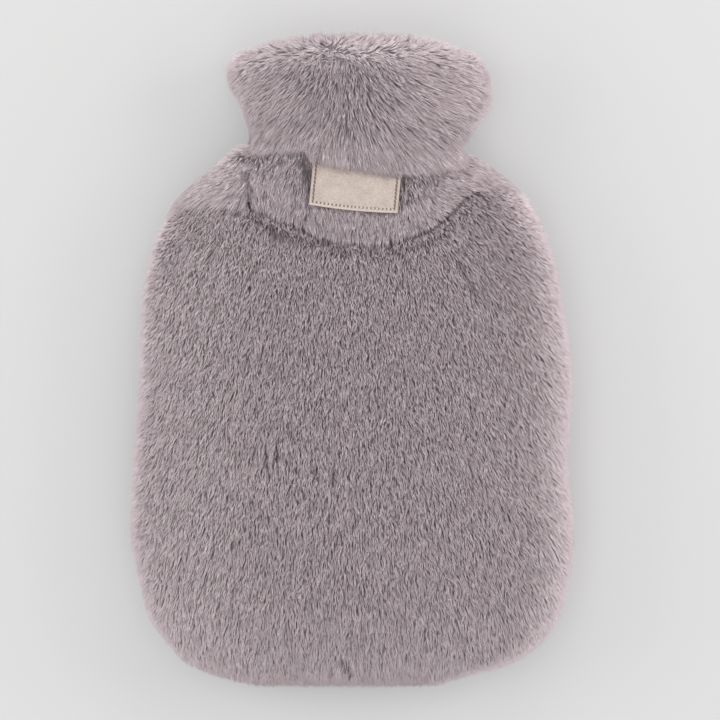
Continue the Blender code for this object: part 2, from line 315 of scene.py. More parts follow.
def at_depth(y, turn, depth):
    """The skin moved outward by depth, inward where depth is below 0."""
    return skin(y, turn) + outward(y, turn) * depth[..., None]


def wall(y):
    """Thickness of the pouch's wall at a height."""
    return WALL + (NECK_WALL - WALL) * eased(y, THIN_FROM, THIN_TO)


def unit(vectors):
    """Each vector over its own length."""
    return vectors / np.maximum(np.linalg.norm(vectors, axis=-1, keepdims=True), 1e-12)


def ray_reach(table, y, turn):
    """Distance from the section's middle to its edge along a straight ray."""
    half_width, half_height = oval(table, y, turn)
    power = power_of(turn)
    across_part = (np.abs(np.cos(turn)) / half_width) ** power
    up_part = (np.abs(np.sin(turn)) / half_height) ** power
    return (across_part + up_part) ** (-1 / power)


def crown(x, y):
    """Height of the skin's upper half over a point of the ground plan."""
    left_over = np.clip(1 - np.abs(x / side_reach(SKIN, x > 0, y)) ** FRONT_POWER, 0, 1)
    return SEAM_HEIGHT + section(SKIN, "rise", y) * left_over ** (1 / FRONT_POWER)


def on_pouch(y, turn, share, cloth_depth, tip_depth):
    """A point of the pouch's pile: share 0 is on the cloth and share 1 at the tips.

    Below the bottom seam the point is carried on a little toward -Y and around the end."""
    beyond = np.minimum(y, 0)
    y = np.maximum(y, 0)
    depth = -cloth_depth * (1 - share) + tip_depth * share
    points = at_depth(y, turn, depth)
    points[..., 1] += CARRY_DOWN * beyond
    points[..., 2] += CARRY_ROUND * beyond * np.sign(np.sin(turn))
    return points


def lapped(turn):
    """1 where the yoke's free edge shows, and 0 at the sides, where the pile hides it."""
    side = across(turn)
    return eased(side, -0.66, -0.54) * (1 - eased(side, 0.60, 0.80))


def front_place(y, turn, share):
    """The front panel's pile, which dips a little toward the yoke's free edge."""
    dip = HEM_DIP * eased(y - edge_height(HEM, turn), -GROOVE, 0) * lapped(turn)
    points = on_pouch(y, turn, share, wall(y) - CLOTH, -dip)
    points[..., 2] += GAP
    return points


def back_place(y, turn, share):
    """The back's pile, which lies flattened on the surface."""
    points = on_pouch(y, turn, share, wall(y) - CLOTH, np.zeros_like(y))
    points[..., 2] = np.maximum(points[..., 2], FLAT_FLOOR)
    return points


def yoke_place(y, turn, share):
    """The yoke's pile: proud at the free edge, whose nose is rounded off."""
    outer, deep = yoke_depths(y, turn)
    points = on_pouch(y, turn, share, deep - CLOTH, outer)
    points[..., 2] += GAP
    return points


def yoke_depths(y, turn):
    """The yoke's outer surface above the skin, and its inner one below it."""
    above = y - edge_height(HEM, turn)
    lap = TUCK + LAP_SPARE
    middle = 1 - np.abs(across(turn)) ** 4
    lift = YOKE_LIFT * middle * (1 - eased(above, 0, TUCK))
    short = np.clip(1 - above / EDGE_ROUND, 0, 1)
    nose = NOSE_DROP * (1 - np.sqrt(1 - short**2)) * (0.2 + 0.6 * lapped(turn))
    free = eased(above, lap, 1.5 * lap)
    deep = (TUCK_DEPTH - 2 * GAP) * (1 - free) + wall(y) * free
    return lift - nose, deep


COLLAR_AROUND = 240  # columns of the collar's own grids
COLLAR_STRAIGHT, COLLAR_CAP = 30, 10  # rows along a face and around an edge
COLLAR_PILE = 0.0075  # depth of pile on the collar's outside
MOUTH_PILE = 0.0035  # depth of pile just inside its mouth
MOUTH_REACH, MOUTH_FULL = 0.026, 0.010  # it runs out between these depths inside
LIP_PILE, RIM_PILE = 0.0065, 0.0060  # depth of pile past the cloth's own edges
CLOTH_ROUND = 0.4  # the cloth's edges are this much less rounded than the pile's


def collar_grid(inset):
    """The collar's wall as rows around its outline and columns around the neck.

    The outline runs up the outside, over the rim, down the inside and round the lip, at
    straight shares of the height between rounded edges.  inset 0 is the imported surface
    and inset 1 the cloth under the pile."""
    around = np.arange(COLLAR_AROUND) * 2 * np.pi / COLLAR_AROUND
    half_width, half_height = oval(COLLAR, np.full_like(around, NECK_END), around)
    ray = np.arctan2(half_height * np.sin(around), half_width * np.cos(around))
    back_lip = LIP["height"][0] - LIP_BACK_DROP * np.abs(np.sin(around))
    low = np.where(np.sin(around) > 0, edge_height(LIP, around), back_lip)
    high = LENGTH - MOUTH_DROP * np.abs(across(around)) ** 4
    low, high = low + LIP_PILE * inset, high - RIM_PILE * inset

    straight = np.linspace(0, 1, COLLAR_STRAIGHT) ** 1.2
    cap = np.radians(np.linspace(80, -80, COLLAR_CAP))
    flat, full = np.zeros_like(straight), np.ones_like(straight)
    share = [straight, np.ones_like(cap), straight[::-1], np.zeros_like(cap)]
    share = np.concatenate(share)[:, None]
    bulge = np.concatenate([flat, np.cos(cap), flat, -np.cos(cap)])[:, None]
    side = np.concatenate([full, np.sin(cap), -full, -np.sin(cap)])[:, None]
    edge = CAP_ROUND * (1 - (1 - CLOTH_ROUND) * inset)
    y = low + edge + share * (high - low - 2 * edge) + bulge * edge

    ray = np.broadcast_to(ray, y.shape)
    label_room = LABEL_ROOM * eased(np.sin(ray), 0.0, 0.5)
    label_room = label_room * (1 - eased(y, THIN_TO, NECK_END))
    inner = ray_reach(SKIN, y, ray) + 3 * GAP + label_room
    outer = np.maximum(ray_reach(COLLAR, y, ray), inner + LIP_LEAST)
    inner = inner + inset * MOUTH_PILE * eased(y - high, -MOUTH_REACH, -MOUTH_FULL)
    outer = np.maximum(outer - COLLAR_PILE * inset, inner + CLOTH)
    reach = inner + (outer - inner) * (0.5 + 0.5 * side)
    x, z = reach * np.cos(ray), SEAM_HEIGHT + reach * np.sin(ray)
    return np.stack([x, y, np.maximum(z, 0)], axis=-1)


def ring_read(grid, row, column):
    """A grid whose ends meet in both directions, read between its points."""
    rows, columns = grid.shape[:2]
    r, c = np.floor(row).astype(int), np.floor(column).astype(int)
    s, t = (row - r)[:, None], (column - c)[:, None]
    r, c, r1, c1 = r % rows, c % columns, (r + 1) % rows, (c + 1) % columns
    near = grid[r, c] * (1 - t) + grid[r, c1] * t
    far = grid[r1, c] * (1 - t) + grid[r1, c1] * t
    return near * (1 - s) + far * s


def collar_place():
    """A function that gives a point between the collar's cloth and its packed surface."""
    cloth, surface = collar_grid(1.0), collar_grid(0.0)

    def place(row, column, share):
        share = np.broadcast_to(share, row.shape)[:, None]
        low, high = ring_read(cloth, row, column), ring_read(surface, row, column)
        points = low * (1 - share) + high * share
        points[:, 2] = np.maximum(points[:, 2], FLAT_FLOOR)
        return points

    return place


# ---------------------------------------------------------------- pile


def waves(points, longest, count, seed):
    """A smooth random field in -1..1: a sum of sines in random directions, each a little
    shorter than the last, down to about a third of the longest wave.  The seed picks the
    field, so each use has a number of its own."""
    rng = np.random.default_rng(seed)
    lengths = longest / np.linspace(1, 3, count)
    heading = unit(rng.normal(size=(count, 3)))
    phase = rng.uniform(0, 2 * np.pi, count)
    total = np.sin(points @ (heading * (2 * np.pi / lengths)[:, None]).T + phase).sum(-1)
    return np.clip(total / np.sqrt(count) / 1.4, -1, 1)


def sown(area, count, rng):
    """Even random places on a grid of cell areas, as fractional rows and columns.

    An even sequence of pairs is shaken a little, then its first number is read off the
    rows' running area and its second off the columns' running area in that row."""
    rows, columns = area.shape
    steps = np.arange(count)[:, None] * np.array([0.7548776662, 0.5698402910])
    shaken = rng.uniform(-0.5, 0.5, (count, 2)) / np.sqrt(count)
    pair = (0.5 + steps + shaken) % 1
    down = np.concatenate([[0], np.cumsum(area.sum(1))])
    row = np.interp(pair[:, 0], down / down[-1], np.arange(rows + 1))
    i = np.minimum(row.astype(int), rows - 1)
    along = np.cumsum(area, axis=1) / area.sum(1, keepdims=True)
    hit = np.searchsorted((along + np.arange(rows)[:, None]).ravel(), i + pair[:, 1])
    j = np.clip(hit - i * columns, 0, columns - 1)
    before = np.where(j > 0, along[i, j - 1], 0)
    return row, j + np.clip((pair[:, 1] - before) / (along[i, j] - before), 0, 1)


def cell_areas(points, ring=False):
    """The area of each cell of a grid of points: half the diagonals' cross product."""
    if ring:
        points = np.concatenate([points, points[:1]])
        points = np.concatenate([points, points[:, :1]], axis=1)
    first = points[1:, 1:] - points[:-1, :-1]
    second = points[1:, :-1] - points[:-1, 1:]
    return np.linalg.norm(np.cross(first, second), axis=-1) / 2


def travel(place, a, b, heading, small):
    """How far the two parameters move to follow a heading along the surface: the least
    squares answer of (slope along a, slope along b) * move = heading."""
    slope_a = (place(a + small[0], b, 1.0) - place(a - small[0], b, 1.0)) / (2 * small[0])
    slope_b = (place(a, b + small[1], 1.0) - place(a, b - small[1], 1.0)) / (2 * small[1])
    aa, bb = (slope_a**2).sum(-1), (slope_b**2).sum(-1)
    ab = (slope_a * slope_b).sum(-1)
    ha, hb = (heading * slope_a).sum(-1), (heading * slope_b).sum(-1)
    spare = aa * bb - ab**2 + 1e-3 * aa * bb + 1e-18
    move_a = (ha * bb - hb * ab) / spare
    move_b = (hb * aa - ha * ab) / spare
    reach = np.linalg.norm(heading, axis=-1)
    held_a = 1.2 * reach / np.sqrt(aa + 1e-12)
    held_b = 1.2 * reach / np.sqrt(bb + 1e-12)
    return np.clip(move_a, -held_a, held_a), np.clip(move_b, -held_b, held_b)


def near_partings(points, partings):
    """How strongly each point feels the partings: (hollow, dark, sideways push), where dark
    is painted shade.
    """
    hollow, dark = np.zeros(len(points)), np.zeros(len(points))
    push = np.zeros(len(points))
    for line in partings:
        start = np.array([line["x0"], line["y0"]])
        run = np.array([line["x1"], line["y1"]]) - start
        share = np.clip((points[:, :2] - start) @ run / (run @ run), 0, 1)
        away = points[:, :2] - start - share[:, None] * run
        distance = np.linalg.norm(away, axis=1) * (1 + 0.5 * waves(points, 0.006, 5, 91))
        weight = np.exp(-((distance / line["width"]) ** 2))
        hollow += line["hollow"] * weight
        dark += line["dark"] * weight
        wide = np.exp(-((distance / (2.5 * line["width"])) ** 2))
        push += np.sign(away[:, 0]) * wide * line["hollow"]
    return np.clip(hollow, 0, 0.8), np.clip(dark, 0, 0.6), np.clip(push, -1, 1)


def drawn_together(roots, tips, pile, rng):
    """Tips pulled toward the middle of their clump, and a random number for each clump.

    Clumps are the cells of a bent grid, width across the nap and length along it, and
    each column of cells is slid by its own share of a cell."""
    width, length = pile.clump_width, pile.clump_length
    bend = [waves(roots, 6 * width, 5, 11 + k) for k in range(3)]
    bent = roots + 0.4 * width * np.stack(bend, axis=-1)
    across_cell = np.floor(bent[:, 0] / width)
    up_cell = np.floor(bent[:, 2] / width)
    slide = (across_cell * 0.618034 + up_cell * 0.754877) % 1
    cells = np.stack([across_cell, np.floor(bent[:, 1] / length + slide), up_cell], axis=-1)
    _, which = np.unique(cells, axis=0, return_inverse=True)
    which = which.ravel()
    count = np.bincount(which)
    middle = np.stack([np.bincount(which, tips[:, k]) / count for k in range(3)], axis=-1)
    pulled = tips + pile.clump_pull * (middle[which] - tips)
    return pulled, rng.normal(size=len(count))[which]


def grown(place, a, b, small, heading, length, height, free, pile, rng):
    """Strands of pile from their roots at (a, b): root, middle and tip, in rows.

    A strand leaves its root, runs half its length along the heading while it rises to
    three quarters of its height, and then the other half to the tip.  A free strand's
    second half goes straight on instead of following the surface."""
    half = 0.5 * length[:, None] * heading
    root = place(a, b, np.full_like(a, -0.05))
    move = travel(place, a, b, half, small)
    a, b = a + move[0], b + move[1]
    middle = place(a, b, 0.72 * height)
    move = travel(place, a, b, half, small)
    tip = place(a + move[0], b + move[1], height)
    onward = middle + half + np.array([0.0, 0.0, -0.15]) * length[:, None]
    tip += np.reshape(free, (-1, 1)) * (onward - tip)
    tip, clump = drawn_together(root, tip, pile, rng)
    middle += rng.normal(scale=0.00025, size=middle.shape)
    return root, middle, tip, clump


def strand_points(root, middle, tip, radius, rng):
    """Four points a strand: three at radius around its hidden foot, halfway from root to
    middle, square to the way to the tip and turned at random, and then its tip."""
    foot = 0.5 * root + 0.5 * middle
    axis = unit(tip - foot)
    side = unit(np.cross(axis, np.array([0.31, 0.52, 0.79])))
    other = np.cross(axis, side)
    turn = rng.uniform(0, 2 * np.pi, len(foot))[:, None] + np.arange(3) * 2 * np.pi / 3
    turn = turn[..., None]
    ring = np.cos(turn) * side[:, None] + np.sin(turn) * other[:, None]
    ring = foot[:, None] + radius[:, None, None] * ring
    return np.concatenate([ring, tip[:, None]], axis=1)


STRAND_FACES = np.array([(0, 1, 3), (1, 2, 3), (2, 0, 3), (2, 1, 0)])
STRAND_ALONG = np.array([0.02, 0.02, 0.06, 0.98])  # of each point, on the shade map
STRAND_BESIDE = np.array([-0.004, 0.004, 0.0, 0.0])


def pile_object(name, points, shade, material):
    """Closed strands as one mesh, with a map: shade across it, and foot to tip up it."""
    corners = (STRAND_FACES.ravel() + 4 * np.arange(len(points))[:, None]).ravel()
    place = np.empty((len(points), 4, 2))
    place[..., 0] = np.clip(shade, 0.02, 0.98)[:, None] + STRAND_BESIDE
    place[..., 1] = STRAND_ALONG
    places = place.reshape(-1, 2)[corners]
    return mesh_object(name, points, corners, 3, material, "pile_cloth", "OFBake", places)


def mesh_object(name, points, corners, sides, material, slot, map_name="", places=None):
    """A smooth mesh object whose faces all have the same number of sides.

    Its points are moved from the tables' heights to the origin and kept off the floor.
    places is the map, if it has one, corner by corner."""
    points = points.reshape(-1, 3) - np.array([ORIGIN_SIDE, ORIGIN_HEIGHT, 0])
    points[:, 2] = np.maximum(points[:, 2], FLAT_FLOOR)
    mesh = bpy.data.meshes.new(name)
    mesh.vertices.add(len(points))
    mesh.vertices.foreach_set("co", np.ascontiguousarray(points, np.float32).ravel())
    mesh.loops.add(len(corners))
    mesh.loops.foreach_set("vertex_index", np.ascontiguousarray(corners, np.int32))
    mesh.polygons.add(len(corners) // sides)
    starts = np.arange(0, len(corners), sides, dtype=np.int32)
    mesh.polygons.foreach_set("loop_start", starts)
    mesh.update(calc_edges=True)
    if map_name:
        layer = mesh.uv_layers.new(name=map_name)
        layer.uv.foreach_set("vector", np.ascontiguousarray(places, np.float32).ravel())
    mesh.materials.append(material)
    mesh.shade_smooth()
    piece = bpy.data.objects.new(name, mesh)
    bpy.context.scene.collection.objects.link(piece)
    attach(piece, "root")
    return piece


def grid_corners(rows, columns, first=0, flip=False, ring=False):
    """Corners of the four-sided faces of a grid of points numbered row by row."""
    open_end = 0 if ring else 1
    i, j = np.indices((rows - open_end, columns - open_end)).reshape(2, -1)
    onward, beside = (i + 1) % rows, (j + 1) % columns
    near = [i * columns + j, i * columns + beside]
    faces = np.stack([*near, onward * columns + beside, onward * columns + j], axis=-1)
    return first + (faces[:, ::-1] if flip else faces)


def cloth_slab(name, outside, inside, material, slot="pile_cloth", map_name="", plan=None):
    """One closed cloth between two grids of points of the same size.  plan is its map, if
    it has one: a grid of places, the same for both faces."""
    rows, columns = outside.shape[:2]
    count = rows * columns
    index = np.arange(count).reshape(rows, columns)
    rim = np.concatenate([index[0], index[1:, -1], index[-1, -2::-1], index[-2:0:-1, 0]])
    onward = np.roll(rim, -1)
    band = np.stack([onward, rim, rim + count, onward + count], axis=-1)
    faces = np.concatenate(
        [grid_corners(rows, columns), grid_corners(rows, columns, count, flip=True), band]
    ).ravel()
    points = np.stack([outside, inside])
    places = np.tile(plan.reshape(-1, 2), (2, 1))[faces] if map_name else None
    return mesh_object(name, points, faces, 4, material, slot, map_name, places)


# ---------------------------------------------------------------- materials


def linear(text):
    """The linear colour of an sRGB hex value."""
    value = np.array([int(text[i : i + 2], 16) for i in (1, 3, 5)]) / 255
    bright = ((value + 0.055) / 1.055) ** 2.4
    return tuple(np.where(value <= 0.04045, value / 12.92, bright))


def add(tree, kind, inputs=(), stops=(), **settings):
    """One node.  settings are its own properties, and inputs its sockets, by name or
    number, each with a value or with another node's output to link to.  stops are a
    colour ramp's places and colours."""
    node = tree.nodes.new(kind)
    for name, value in settings.items():
        setattr(node, name, value)
    for socket, value in dict(inputs).items():
        if isinstance(value, bpy.types.NodeSocket):
            tree.links.new(value, node.inputs[socket])
        else:
            node.inputs[socket].default_value = value
    for number, (place, colour) in enumerate(stops):
        elements = node.color_ramp.elements
        stop = elements[number] if number < 2 else elements.new(place)
        stop.position, stop.color = place, (*colour, 1)
    return node


def fresh(name, **numbers):
    """A new material, its node tree and its shader, with the shader's numbers set."""
    material = bpy.data.materials.new(name)
    material.use_nodes = True
    shader = material.node_tree.nodes["Principled BSDF"]
    for socket, value in numbers.items():
        shader.inputs[socket.replace("_", " ")].default_value = value
    return material, material.node_tree, shader


def pile_material(pile):
    """Brushed polyester pile, as on long faux fur: soft and matt, with painted shade deep
    between the locks toward their roots, and bright at the combed tips.  The map's first
    number picks a lock's shade, which also carries painted light and shade, and the second
    runs from its root to its tip."""
    if "polyester_long_pile" in bpy.data.materials:
        return bpy.data.materials["polyester_long_pile"]
    material, tree, shader = fresh(
        "polyester_long_pile",
        Roughness=0.62,
        IOR=1.5,
        Specular_IOR_Level=0.35,
        Sheen_Weight=0.35,
        Sheen_Roughness=0.45,
        Sheen_Tint=(*linear("#f4e8ea"), 1),
    )
    place = add(tree, "ShaderNodeUVMap", uv_map="OFBake").outputs[0]
    split = add(tree, "ShaderNodeSeparateXYZ", {0: place})
    locks = ((0.0, pile.deep_colour), (0.5, pile.pile_colour), (1.0, pile.light_colour))
    shade = add(tree, "ShaderNodeValToRGB", {0: split.outputs[0]}, locks)
    # painted shade, darkest at the roots deep in the pile and none at the tips
    root_shade_stops = ((0.0, "#cecece"), (0.25, "#e7e7e7"), (0.60, "#fdfdfd"), (1.0, "#ffffff"))
    root_shade_stops = [(place, linear(grey)) for place, grey in root_shade_stops]
    depth = add(tree, "ShaderNodeValToRGB", {0: split.outputs[1]}, root_shade_stops)
    layers = {0: 1.0, 6: shade.outputs[0], 7: depth.outputs[0]}
    colour = add(tree, "ShaderNodeMix", layers, data_type="RGBA", blend_type="MULTIPLY")
    tree.links.new(colour.outputs[2], shader.inputs["Base Color"])
    return material


def backing_material():
    """Warp-knitted polyester backing: dull, in fine ribs about 0.8 mm apart."""
    if "knitted_polyester_backing" in bpy.data.materials:
        return bpy.data.materials["knitted_polyester_backing"]
    material, tree, shader = fresh("knitted_polyester_backing", Roughness=0.9)
    place = add(tree, "ShaderNodeTexCoord").outputs["Object"]
    wave = {"Vector": place, "Scale": 390.0, "Distortion": 1.5, "Detail": 1.0}
    ribs = add(tree, "ShaderNodeTexWave", wave).outputs["Fac"]
    ends = [(0.0, linear("#7a7074")), (1.0, linear("#90858a"))]
    shade = add(tree, "ShaderNodeValToRGB", {0: ribs}, ends)
    relief = {"Height": ribs, "Strength": 0.4, "Distance": 0.0002}
    bump = add(tree, "ShaderNodeBump", relief)
    tree.links.new(shade.outputs[0], shader.inputs["Base Color"])
    tree.links.new(bump.outputs[0], shader.inputs["Normal"])
    return material


# ---------------------------------------------------------------- settings


def length_setting(name, default, description):
    """A length in metres."""
    return FloatProperty(name=name, description=description, default=default, unit="LENGTH")


def colour_setting(name, value, description):
    """A colour, from its hex value."""
    return FloatVectorProperty(
        name=name, description=description, subtype="COLOR", default=linear(value)
    )


class CoverPile(bpy.types.PropertyGroup):
    """Sizes and colours of the pile."""

    lock_radius: length_setting(
        "Lock radius", 0.00041, "Half the thickness of a lock of soft pile at its middle"
    )
    hair_radius: length_setting(
        "Long hair radius", 0.00024, "Half the thickness of the longer, finer hairs"
    )
    lock_length: length_setting(
        "Lock length", 0.0048, "How far a lock runs along the cloth"
    )
    hair_length: length_setting(
        "Long hair length", 0.0060, "How far the longer hairs run along the cloth"
    )
    clump_width: length_setting(
        "Clump width", 0.0016, "Width of the clumps that locks gather into"
    )
    clump_length: length_setting(
        "Clump length", 0.0032, "Length of those clumps along the nap"
    )
    clump_pull: FloatProperty(
        name="Clump pull",
        description="How far a tip is drawn toward the middle of its clump",
        default=0.34,
        min=0,
        max=1,
        subtype="FACTOR",
    )
    seed: IntProperty(
        name="Seed", description="Number that the random places start from", default=7
    )
    deep_colour: colour_setting("Dark locks", "#908388", "Colour of the darkest locks")
    pile_colour: colour_setting("Pile", "#c8babf", "Colour of most of the pile")
    light_colour: colour_setting("Light locks", "#f5e9ed", "Colour of the lightest locks")


class CoverLabel(bpy.types.PropertyGroup):
    """Colours of the label."""

    cloth_colour: colour_setting("Cloth", "#b1a49c", "Colour of the label's canvas")
    hole_colour: colour_setting("Needle holes", "#3c2c27", "Colour in the needle holes")
    thread_colour: colour_setting("Thread", "#e6d9cb", "Colour of the sewing thread")
    side_colour: colour_setting(
        "Side thread", "#7d5f52", "Colour of the thread down the label's short edges"
    )


class CoverStage(bpy.types.PropertyGroup):
    """The floor, the lights and the camera's distance."""

    floor_colour: colour_setting("Floor", "#aaaaaa", "Colour of the plain floor")
    floor_glow: FloatProperty(
        name="Floor glow",
        description="Light that the floor gives out, as a light table does",
        default=0.205,
        min=0,
    )
    distance: length_setting(
        "Camera distance", 2.4, "Height of the camera above the side seam"
    )
    frame_size: length_setting(
        "Frame size", 0.3888, "Width of the picture at the side seam's height"
    )


# ---------------------------------------------------------------- pieces

FRONT_TURNS, BACK_TURNS = (np.pi, 0), (2 * np.pi, np.pi)  # their angles in a section
CLOTH_COLUMNS = 49  # of the backings' grids
NEAR_SEAM = 1e-6  # height of the lowest roots
ROOT_CELLS = 160  # rows and columns of the grids that the pile is sown on
END_CROWD = 2.4  # how closely those rows crowd toward the steep bottom end
POUCH_STEP = (2e-4, 2e-3)  # steps in height and in angle over which a slope is read
COLLAR_STEP = (0.5, 0.5)  # the same in rows and columns of the collar's grid


def cloth_grid(bottom, top, turns, rows, columns, crowd):
    """Heights and angles of a grid between two heights that depend on the angle.  crowd
    above 1 sets the lower rows closer together."""
    share, turn = np.meshgrid(
        np.linspace(0, 1, rows) ** crowd, np.linspace(*turns, columns), indexing="ij"
    )
    return bottom(turn) + share * (top(turn) - bottom(turn)), turn


def pouch_cloth(name, bottom, top, turns, rows, place, deep, lift=GAP):
    """A piece of the pouch's backing, between the pile's feet and deep below the skin,
    lifted off the piece beneath it."""
    y, turn = cloth_grid(bottom, top, turns, rows, CLOTH_COLUMNS, 1.6)
    inside = at_depth(y, turn, -deep(y, turn)) + np.array([0, 0, lift])
    return cloth_slab(name, place(y, turn, 0.0 * y), inside, backing_material())


def pouch_roots(bottom, top, turns, place, crowd=1.0):
    """A function that finds even places for roots on a grid of the pouch."""

    def find(count, rng):
        y, turn = cloth_grid(bottom, top, turns, ROOT_CELLS + 1, ROOT_CELLS + 1, crowd)
        row, column = sown(cell_areas(place(y, turn, 0.6)), count, rng)
        turn = turns[0] + (turns[1] - turns[0]) * column / ROOT_CELLS
        share = (row / ROOT_CELLS) ** crowd
        return bottom(turn) + share * (top(turn) - bottom(turn)), turn

    return find


def end_rise(points):
    """The share of its height that the pile keeps at the bottom, where it is thinner,
    most so toward the bottom's two corners."""
    x, y = np.abs(points[:, 0]), points[:, 1]
    left_over = 0.72 - 0.24 * eased(x, 0.015, 0.045)
    return left_over + (1 - left_over) * eased(y, 0.0, 0.010)


def toward_seam(y, most):
    """A push to the heading that turns the nap toward the seam around the steep end."""
    return (most * (1 - eased(y, 0.0, 0.020)))[:, None] * np.array([0.0, 0.0, 1.0])


def collar_roots(count, rng):
    """Even places for roots on the collar, wherever there is room for pile."""
    depth = np.linalg.norm(collar_grid(0.0) - collar_grid(1.0), axis=-1)
    room = eased(depth, 0.0012, 0.0030)
    middle = collar_grid(0.5)
    thicker = 1 + 0.8 * eased(middle[..., 1], 0.325, 0.345)
    return sown(cell_areas(middle, ring=True) * room * thicker, count, rng)


def headings(points, lean, seed, rng):
    """Unit headings of the nap: toward the bottom, turned sideways by lean, by a slow and
    a quicker wander, and by each strand's own small turn."""
    wander = 0.11 * waves(points, 0.040, 6, seed) + 0.20 * waves(points, 0.012, 7, seed + 1)
    angle = lean + wander + rng.normal(scale=0.11, size=len(points))
    return np.stack([np.sin(angle), -np.cos(angle), np.zeros_like(angle)], axis=-1)


def pouch_lean(points):
    """The nap runs almost straight down, leans outward at the shoulders, the right one
    most, and is turned inward where the left side's slope already throws the tips out."""
    x, y = points[:, 0], points[:, 1]
    right = x > 0
    shoulder = np.where(right, 18, 12 * eased(y, 0.245, 0.262)) * eased(y, 0.19, 0.25)
    side = side_reach(SKIN, right, y) - np.abs(x)
    swing = np.where(right, 4, -26) * (1 - eased(side, 0.0, 0.038))
    lean = np.where(right, 6, 1) * eased(np.abs(x), 0.0, 0.05) + swing
    lean += shoulder * eased(np.abs(x), 0.015, 0.08)
    return np.sign(x) * np.radians(lean)


def notch(points):
    """1 in the left notch between shoulder and collar, where the pile curls up."""
    x, y = points[:, 0], points[:, 1]
    return np.exp(-(((y - 0.2895) / 0.0035) ** 2)) * eased(-x, 0.047, 0.054)


def stand_pile(context, piece, roots_at, place, small, comb):
    """The soft locks, the long hairs and the fine hairs of one piece.

    comb gives, for the roots, the sideways lean, the height and the run as shares of the
    usual ones, the shade, a push to the heading, and how free the tips are."""
    pile = context.scene.cover_pile
    layers = (
        ("soft_pile", pile.lock_length, pile.lock_radius, 0.92),
        ("long_hair", pile.hair_length, pile.hair_radius, 1.05),
        ("fine_hair", 0.9 * pile.hair_length, 0.8 * pile.hair_radius, 1.12),
    )
    made = []
    seed = pile.seed + 10 * list(PILE_COUNTS).index(piece)
    for number, (layer, length, radius, height) in enumerate(layers):
        count = PILE_COUNTS[piece][number]
        if not count:
            continue
        rng = np.random.default_rng(seed + number)
        a, b = roots_at(count, rng)
        root = place(a, b, 0.0 * a)
        lean, rise, run, shade, push, free = comb(a, b, root)
        heading = headings(root, lean, seed, rng) + push
        rough = waves(root, 0.009, 6, seed + 2)
        rise = height * rise + 0.05 * rough + rng.normal(scale=0.08, size=count)
        run = length * run * (1 + rng.normal(scale=0.18, size=count))
        thick = radius * (1 + rng.uniform(-0.3, 0.3, count)) / np.clip(rise, 1, 2)
        shade = shade + 0.05 * waves(root, 0.022, 6, seed + 3) + 0.05 * rough
        strands = grown(place, a, b, small, heading, run, rise, free, pile, rng)
        root, middle, tip, clump = strands
        shade += 0.05 * clump + rng.normal(scale=SHADE_SPREAD[piece], size=count)
        shade += 0.04 * number  # the longer hairs are a little lighter
        points = strand_points(root, middle, tip, thick, rng)
        made.append(pile_object(f"{piece}_{layer}", points, shade, pile_material(pile)))
    return made


def dress_cloth(node):
    """Hides the imported solid that a cloth stands for."""
    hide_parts(node)


def level(height):
    """A height that is the same at every angle."""
    return lambda turn: np.full_like(turn, height)


def hem(turn):
    """Height of the yoke's free edge at an angle."""
    return edge_height(HEM, turn)


def pouch_depth(y, turn):
    """Depth of the inside of the pouch's cloth below the skin."""
    return wall(y)


def sideways(push):
    """A push to the side as a vector, positive to the right."""
    return push[:, None] * np.array([1.0, 0.0, 0.0])


class COVER_OT_front(bpy.types.Operator):
    """Front panel: its backing, its soft pile and its long hairs"""

    bl_idname = "cover.front"
    bl_label = "Front panel"

    def execute(self, context):
        def cloth_top(turn):
            return hem(turn) + TUCK - 0.001

        def top(turn):
            return hem(turn) + 0.003 + 0.005 * (1 - lapped(turn))

        edges = (level(0.0), cloth_top, FRONT_TURNS)
        cloth = pouch_cloth("front_backing", *edges, 41, front_place, pouch_depth)

        def comb(y, turn, root):
            middle = root - np.array([0.0, 0.0025, 0.0])  # of a strand, seen from above
            hollow, dark, push = near_partings(middle, FRONT_PARTINGS)
            side = np.abs(across(turn))
            # painted shade, in patches, on the pile just under the hem, where the yoke's
            # edge overhangs it
            band = eased(0.014 - hem(turn) + y, 0, 0.012) * eased(0.75 - side, 0, 0.2)
            # painted shade in the partings, painted light at the rims and the left side,
            # painted shade on the right shoulder
            shade = 0.56 - 0.8 * dark + painted_rim_light(turn) + painted_side_light(root)
            shade += band * (0.05 - 0.24 * waves(root, 0.007, 6, 41))
            rise = 1 - hollow + 0.25 * eased(y - hem(turn), -0.004, 0.0) * lapped(turn)
            rise *= end_rise(root)
            push = sideways(0.5 * push) + toward_seam(y, -0.9)
            return pouch_lean(root), rise, 1.0, shade, push, 0.0

        edges = (level(NEAR_SEAM), top, FRONT_TURNS)
        roots_at = pouch_roots(*edges, front_place, END_CROWD)
        piles = stand_pile(context, "front", roots_at, front_place, POUCH_STEP, comb)
        dress_cloth("front_panel")
        return {"FINISHED"}


class COVER_OT_back(bpy.types.Operator):
    """Back panel: its backing and its pile, flattened where the cover lies on it"""

    bl_idname = "cover.back"
    bl_label = "Back panel"

    def execute(self, context):
        edges = (level(0.0), level(NECK_END), BACK_TURNS)
        cloth = pouch_cloth("back_backing", *edges, 45, back_place, pouch_depth, 0.0)

        def comb(y, turn, root):
            curl = notch(root)
            lean, rise = pouch_lean(root) - 0.8 * curl, end_rise(root) + 1.6 * curl
            # painted light on the pile toward the side seams
            return lean, rise, 1.1, 0.52 + painted_rim_light(turn), toward_seam(y, 0.7), 0.0

        edges = (level(NEAR_SEAM), level(0.2975), BACK_TURNS)
        roots_at = pouch_roots(*edges, back_place, END_CROWD)
        piles = stand_pile(context, "back", roots_at, back_place, POUCH_STEP, comb)
        dress_cloth("back_panel")
        return {"FINISHED"}


